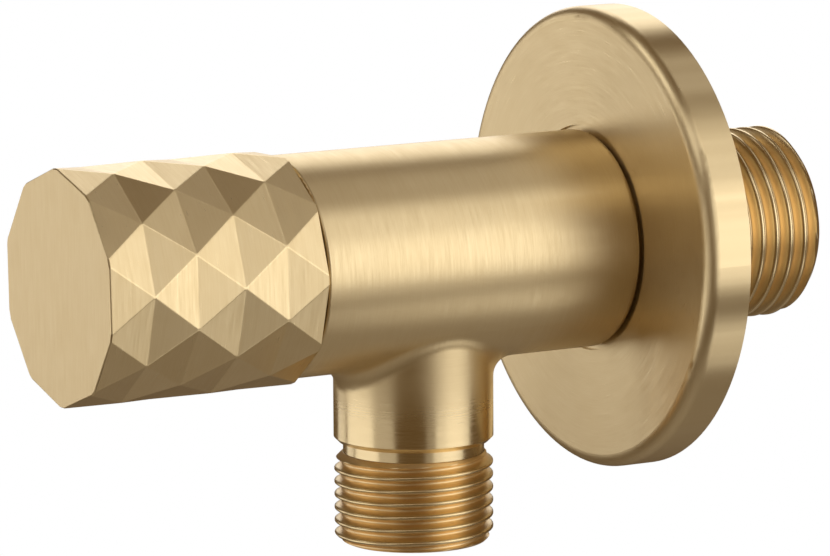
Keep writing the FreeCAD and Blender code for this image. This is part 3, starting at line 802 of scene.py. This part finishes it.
def stage_material(name, tone, glow):
    """A pale surface that the camera sees nearly white, with a trace of the shadow on it."""
    material, tree, shader, place = new_material(name)
    speckle = placed(tree, "Soft Speckle")
    put(tree, place, speckle.inputs["Vector"])
    speckle.inputs["Size"].default_value = 0.02
    speckle.inputs["Colour A"].default_value = (*tone, 1)
    speckle.inputs["Colour B"].default_value = (*[c * 0.97 for c in tone], 1)
    speckle.inputs["Rough"].default_value = 0.8
    put(tree, speckle.outputs["Colour"], shader.inputs["Base Color"])
    put(tree, speckle.outputs["Roughness"], shader.inputs["Roughness"])
    white = tree.nodes.new("ShaderNodeEmission")
    white.inputs["Strength"].default_value = FLOOR_WHITE
    path = tree.nodes.new("ShaderNodeLightPath")
    mix = tree.nodes.new("ShaderNodeMixShader")
    output = tree.nodes["Material Output"]
    tree.links.new(maths(tree, "MULTIPLY", path.outputs["Is Camera Ray"], glow), mix.inputs[0])
    tree.links.new(shader.outputs[0], mix.inputs[1])
    tree.links.new(white.outputs[0], mix.inputs[2])
    tree.links.new(mix.outputs[0], output.inputs["Surface"])
    return material


# ---------------------------------------------------------------- pieces
class VALVE_OT_knob(bpy.types.Operator):
    """Makes the facet-cut knob from its rule and rounds its edges"""

    bl_idname = "valve.knob"
    bl_label = "Knob"

    def execute(self, context):
        sizes = context.scene.valve_knob
        side = brushed_metal("knob_facets", gold().gold, gold().deep_gold, "axial", roughness=0.32,
                             anisotropy=0.25, contrast=0.40, bump=0.05, scratches=0.3)
        face = brushed_metal("knob_face", gold().gold, gold().deep_gold, "side", roughness=0.36,
                             anisotropy=0.3, contrast=0.25, bump=0.06)
        knob = grown("facet_knob", facet_knob_tree(), {
            "Sides": sizes.sides, "Rows": sizes.rows, "Row Pitch": sizes.row_pitch,
            "Point Radius": sizes.point_radius, "First Point": sizes.first_point, "Front": KNOB_LOW.y,
            "Length": KNOB_HIGH.y - KNOB_LOW.y, "Front Trim": sizes.front_trim,
            "Front Corner": sizes.front_corner,
            "Cavity Radius": sizes.cavity_radius, "Front Wall": sizes.front_wall,
            "Grub Radius": sizes.grub_radius, "Grub Side": sizes.grub_side, "Material": side})
        self.round_edges(knob, sizes)
        paint(knob, side, face)
        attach(knob, "handle")
        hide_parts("knob")
        return {"FINISHED"}

    @staticmethod
    def round_edges(knob, sizes):
        """Weights the sharp outer edges for a bevel, and marks the flat front as slot 1."""
        front, blunt = KNOB_LOW.y, math.radians(8)
        build = welded(knob.data, KNOB_MERGE)
        for vertex in build.verts:
            if abs(vertex.co.y - front) < KNOB_MERGE:
                vertex.co.y = front
        bmesh.ops.dissolve_limit(build, angle_limit=math.radians(1.0), verts=build.verts, edges=build.edges)
        weight = build.edges.layers.float.new("bevel_weight_edge")
        facet_share = sizes.facet_round / sizes.edge_round
        for edge in build.edges:
            if len(edge.link_faces) != 2:
                continue
            bend = edge.calc_face_angle(0.0)
            ends = [v.co for v in edge.verts]
            out = min(math.hypot(c.x, c.z) for c in ends)
            smallest = min(face.calc_area() for face in edge.link_faces)
            if out < sizes.cavity_radius + HOLLOW_MARGIN or bend < blunt or smallest < SMALL_FACE:
                edge[weight] = 0.0
            elif all(abs(c.y - front) < PLANE_TOLERANCE for c in ends):
                edge[weight] = 1.0
            else:
                edge[weight] = facet_share
        for face in build.faces:
            face.smooth = True
            flat_front = all(abs(v.co.y - front) < PLANE_TOLERANCE for v in face.verts)
            face.material_index = 1 if flat_front else 0
        for edge in build.edges:
            edge.smooth = len(edge.link_faces) == 2 and edge.calc_face_angle(0.0) < blunt
        build.to_mesh(knob.data)
        build.free()
        bevel = knob.modifiers.new("edge_rounding", "BEVEL")
        bevel.limit_method = "WEIGHT"
        bevel.width = sizes.edge_round
        bevel.segments = 3
        bevel.use_clamp_overlap = False
        bevel.harden_normals = True


class VALVE_OT_threads(bpy.types.Operator):
    """Makes the inlet and outlet pipe threads as helices"""

    bl_idname = "valve.threads"
    bl_label = "Threads"

    def execute(self, context):
        tree = pipe_thread_tree()
        inlet = context.scene.valve_inlet
        outlet = context.scene.valve_outlet
        outlet_place = (0.0, OUTLET_Y, OUTLET_TOP)
        plan = [
            ("inlet_thread", inlet, (0.0, 0.0, 0.0), (math.radians(-90), 0.0, 0.0), (0, 1, 0), (0, 0, 0)),
            ("outlet_thread", outlet, outlet_place, (math.radians(180), 0.0, 0.0), (0, 0, 1), (0, OUTLET_Y, 0)),
        ]
        for name, sizes, place, turn, axis, centre in plan:
            metal = thread_metal(name + "_metal", axis, centre)
            turns = sizes.thread_length / sizes.pitch
            piece = grown(name, tree, {
                "Crest Radius": sizes.crest_radius, "Pitch": sizes.pitch, "Depth": WHITWORTH_DEPTH * sizes.pitch,
                "Length": sizes.thread_length, "Chamfer": sizes.chamfer, "Inner Radius": sizes.inner_radius,
                "Phase": sizes.phase, "Around": THREAD_SIDES, "Along": int(turns * ROWS_PER_TURN),
                "Place": place, "Turn": turn, "Material": metal})
            build = welded(piece.data, WELD)
            bmesh.ops.recalc_face_normals(build, faces=build.faces)
            for edge in build.edges:
                edge.smooth = len(edge.link_faces) != 2 or edge.calc_face_angle(0.0) < math.radians(50)
            build.to_mesh(piece.data)
            build.free()
            paint(piece, metal)
            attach(piece, "valve")
        return {"FINISHED"}


class VALVE_OT_body(bpy.types.Operator):
    """Makes the barrel and outlet neck with smooth shading and brushed zones"""

    bl_idname = "valve.body"
    bl_label = "Body"

    def execute(self, context):
        barrel = brushed_metal("barrel_brushed", gold().gold, gold().deep_gold, "axial", roughness=0.37,
                               anisotropy=0.3, contrast=0.28, bump=0.05, scratches=0.3)
        neck = brushed_metal("neck_brushed", gold().gold, gold().deep_gold, "axial", axis=(0, 0, 1),
                             centre=(0, OUTLET_Y, 0), roughness=0.20, anisotropy=0.3, contrast=0.22, bump=0.03,
                             scratches=0.2, rougher_root=(-0.0185, -0.0120, 0.37))
        bore = brushed_metal("bore_turned", (0.74, 0.58, 0.32), (0.62, 0.46, 0.24), "axial", roughness=0.30,
                             anisotropy=0.0, contrast=0.4, bump=0.10)
        build = welded(NODES["valve_body"].data, WELD / 2)
        self.open_threads(context, build)
        self.zone(build)
        for face in build.faces:
            face.smooth = True
        for edge in build.edges:
            edge.smooth = len(edge.link_faces) == 2 and edge.calc_face_angle(0.0) < math.radians(28)
        plain = bpy.data.meshes.new("barrel_and_neck")
        build.to_mesh(plain)
        build.free()
        piece = bpy.data.objects.new("barrel_and_neck", plain)
        context.scene.collection.objects.link(piece)
        for material in (barrel, neck, bore):
            plain.materials.append(material)
        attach(piece, "valve")
        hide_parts("valve_body")
        return {"FINISHED"}

    @staticmethod
    def open_threads(context, build):
        """Takes away the CAD thread faces that the helical sleeves stand for."""
        inlet_wall = context.scene.valve_inlet.inner_radius
        doomed = []
        for face in build.faces:
            c = face.calc_center_median()
            along_inlet = PLANE_TOLERANCE < c.y < BODY_HIGH.y - PLANE_TOLERANCE
            along_outlet = BODY_LOW.z + PLANE_TOLERANCE < c.z < OUTLET_TOP - PLANE_TOLERANCE
            from_outlet = math.hypot(c.x, c.y - OUTLET_Y)
            if along_inlet and math.hypot(c.x, c.z) > inlet_wall or along_outlet and from_outlet > OUTLET_WALL:
                doomed.append(face)
        bmesh.ops.delete(build, geom=doomed, context="FACES")
        # The sleeves' own end rings lie in the end planes, so the body's end faces stand just behind them.
        for vertex in build.verts:
            if vertex.co.y > BODY_HIGH.y - PLANE_TOLERANCE:
                vertex.co.y -= END_RECESS
            if vertex.co.z < BODY_LOW.z + PLANE_TOLERANCE:
                vertex.co.z += END_RECESS

    @staticmethod
    def zone(build):
        """Slot 0 is the barrel, 1 the neck, 2 the bores."""
        for face in build.faces:
            c = face.calc_center_median()
            from_axis = math.hypot(c.x, c.z)
            from_outlet = math.hypot(c.x, c.y - OUTLET_Y)
            in_barrel = from_axis < INLET_BORE_REACH and c.z > INLET_BORE_FLOOR
            if in_barrel or from_outlet < OUTLET_BORE_REACH and c.z < OUTLET_BORE_TOP:
                face.material_index = 2
            elif c.z < NECK_TOP:
                face.material_index = 1
            else:
                face.material_index = 0


class VALVE_OT_flange(bpy.types.Operator):
    """Gives the wall flange its ring-brushed face"""

    bl_idname = "valve.flange"
    bl_label = "Wall flange"

    def execute(self, context):
        face = brushed_metal("flange_brushed", gold().gold, gold().deep_gold, "radial", roughness=0.32,
                             anisotropy=0.72, contrast=0.26, bump=0.04, scratches=0.25)
        paint(NODES["wall_flange"], face)
        return {"FINISHED"}


class VALVE_OT_cartridge(bpy.types.Operator):
    """Gives the cartridge, seals, discs and fasteners inside their finishes"""

    bl_idname = "valve.cartridge"
    bl_label = "Cartridge and seals"

    def execute(self, context):
        brass = brushed_metal("turned_brass", (0.78, 0.62, 0.33), (0.66, 0.50, 0.25), "axial", roughness=0.30,
                              anisotropy=0.0, contrast=0.5, bump=0.12)
        rubber = speckled("black_rubber", (0.020, 0.020, 0.021), (0.032, 0.032, 0.033), 0.62, 0.15)
        steel = speckled("spring_steel", (0.52, 0.52, 0.54), (0.44, 0.44, 0.46), 0.34, 0.12, metallic=1.0)
        white = speckled("white_slide_plastic", (0.84, 0.84, 0.81), (0.78, 0.78, 0.75), 0.45, 0.10)
        grey = speckled("grey_insert_plastic", (0.30, 0.30, 0.31), (0.25, 0.25, 0.26), 0.50, 0.12)
        ceramic = speckled("disc_ceramic", (0.88, 0.87, 0.84), (0.82, 0.81, 0.78), 0.18, 0.06, bump=0.02)
        finishes = {
            "flange_o_ring": rubber, "housing_o_ring": rubber, "spindle_o_ring_front": rubber,
            "spindle_o_ring_rear": rubber, "seat_seal": rubber, "knob_insert": grey, "slide_washer": white,
            "seal_support_ring": white, "knob_grub_screw": steel, "spindle_circlip": steel, "stop_ring": steel,
            "cartridge_housing": brass, "spindle": brass, "moving_disc": ceramic, "fixed_disc": ceramic,
        }
        for node, material in finishes.items():
            paint(NODES[node], material)
        return {"FINISHED"}


STEPS = ("studio", "body", "threads", "knob", "flange", "cartridge")


class VALVE_PT_panel(bpy.types.Panel):
    """Lists the valve's sizes, finish and operators"""

    bl_label = "Angle Valve"
    bl_idname = "VALVE_PT_panel"
    bl_space_type = "VIEW_3D"
    bl_region_type = "UI"
    bl_category = "Angle Valve"

    def draw(self, context):
        scene = context.scene
        for title, settings in (("Finish", scene.gold_finish), ("Knob", scene.valve_knob),
                                ("Inlet thread", scene.valve_inlet), ("Outlet thread", scene.valve_outlet),
                                ("Studio", scene.valve_studio)):
            box = self.layout.box()
            box.label(text=title)
            for key in settings.__annotations__:
                box.prop(settings, key)
        for step in STEPS:
            self.layout.operator("valve." + step)


CLASSES = (GoldFinish, KnobSizes, ThreadSizes, StudioSettings, VALVE_OT_studio, VALVE_OT_body, VALVE_OT_threads,
           VALVE_OT_knob, VALVE_OT_flange, VALVE_OT_cartridge, VALVE_PT_panel)


def register():
    """Registers the classes and the scene's settings."""
    for cls in CLASSES:
        bpy.utils.register_class(cls)
    bpy.types.Scene.gold_finish = PointerProperty(type=GoldFinish)
    bpy.types.Scene.valve_knob = PointerProperty(type=KnobSizes)
    bpy.types.Scene.valve_inlet = PointerProperty(type=ThreadSizes)
    bpy.types.Scene.valve_outlet = PointerProperty(type=ThreadSizes)
    bpy.types.Scene.valve_studio = PointerProperty(type=StudioSettings)


def unregister():
    """Takes the settings and classes away again."""
    for name in ("gold_finish", "valve_knob", "valve_inlet", "valve_outlet", "valve_studio"):
        delattr(bpy.types.Scene, name)
    for cls in reversed(CLASSES):
        bpy.utils.unregister_class(cls)


def main():
    """Builds everything in order."""
    register()
    bpy.context.scene.view_settings.view_transform = "Standard"
    outlet = bpy.context.scene.valve_outlet
    outlet.crest_radius = OUTLET["dims"]["r_mm"] * MM
    outlet.thread_length = OUTLET["dims"]["length_mm"] * MM
    for key, millimetres in OUTLET_SIZES.items():
        setattr(outlet, key, millimetres * MM)
    for step in STEPS:
        getattr(bpy.ops.valve, step)()


if __name__ == "__main__":
    main()
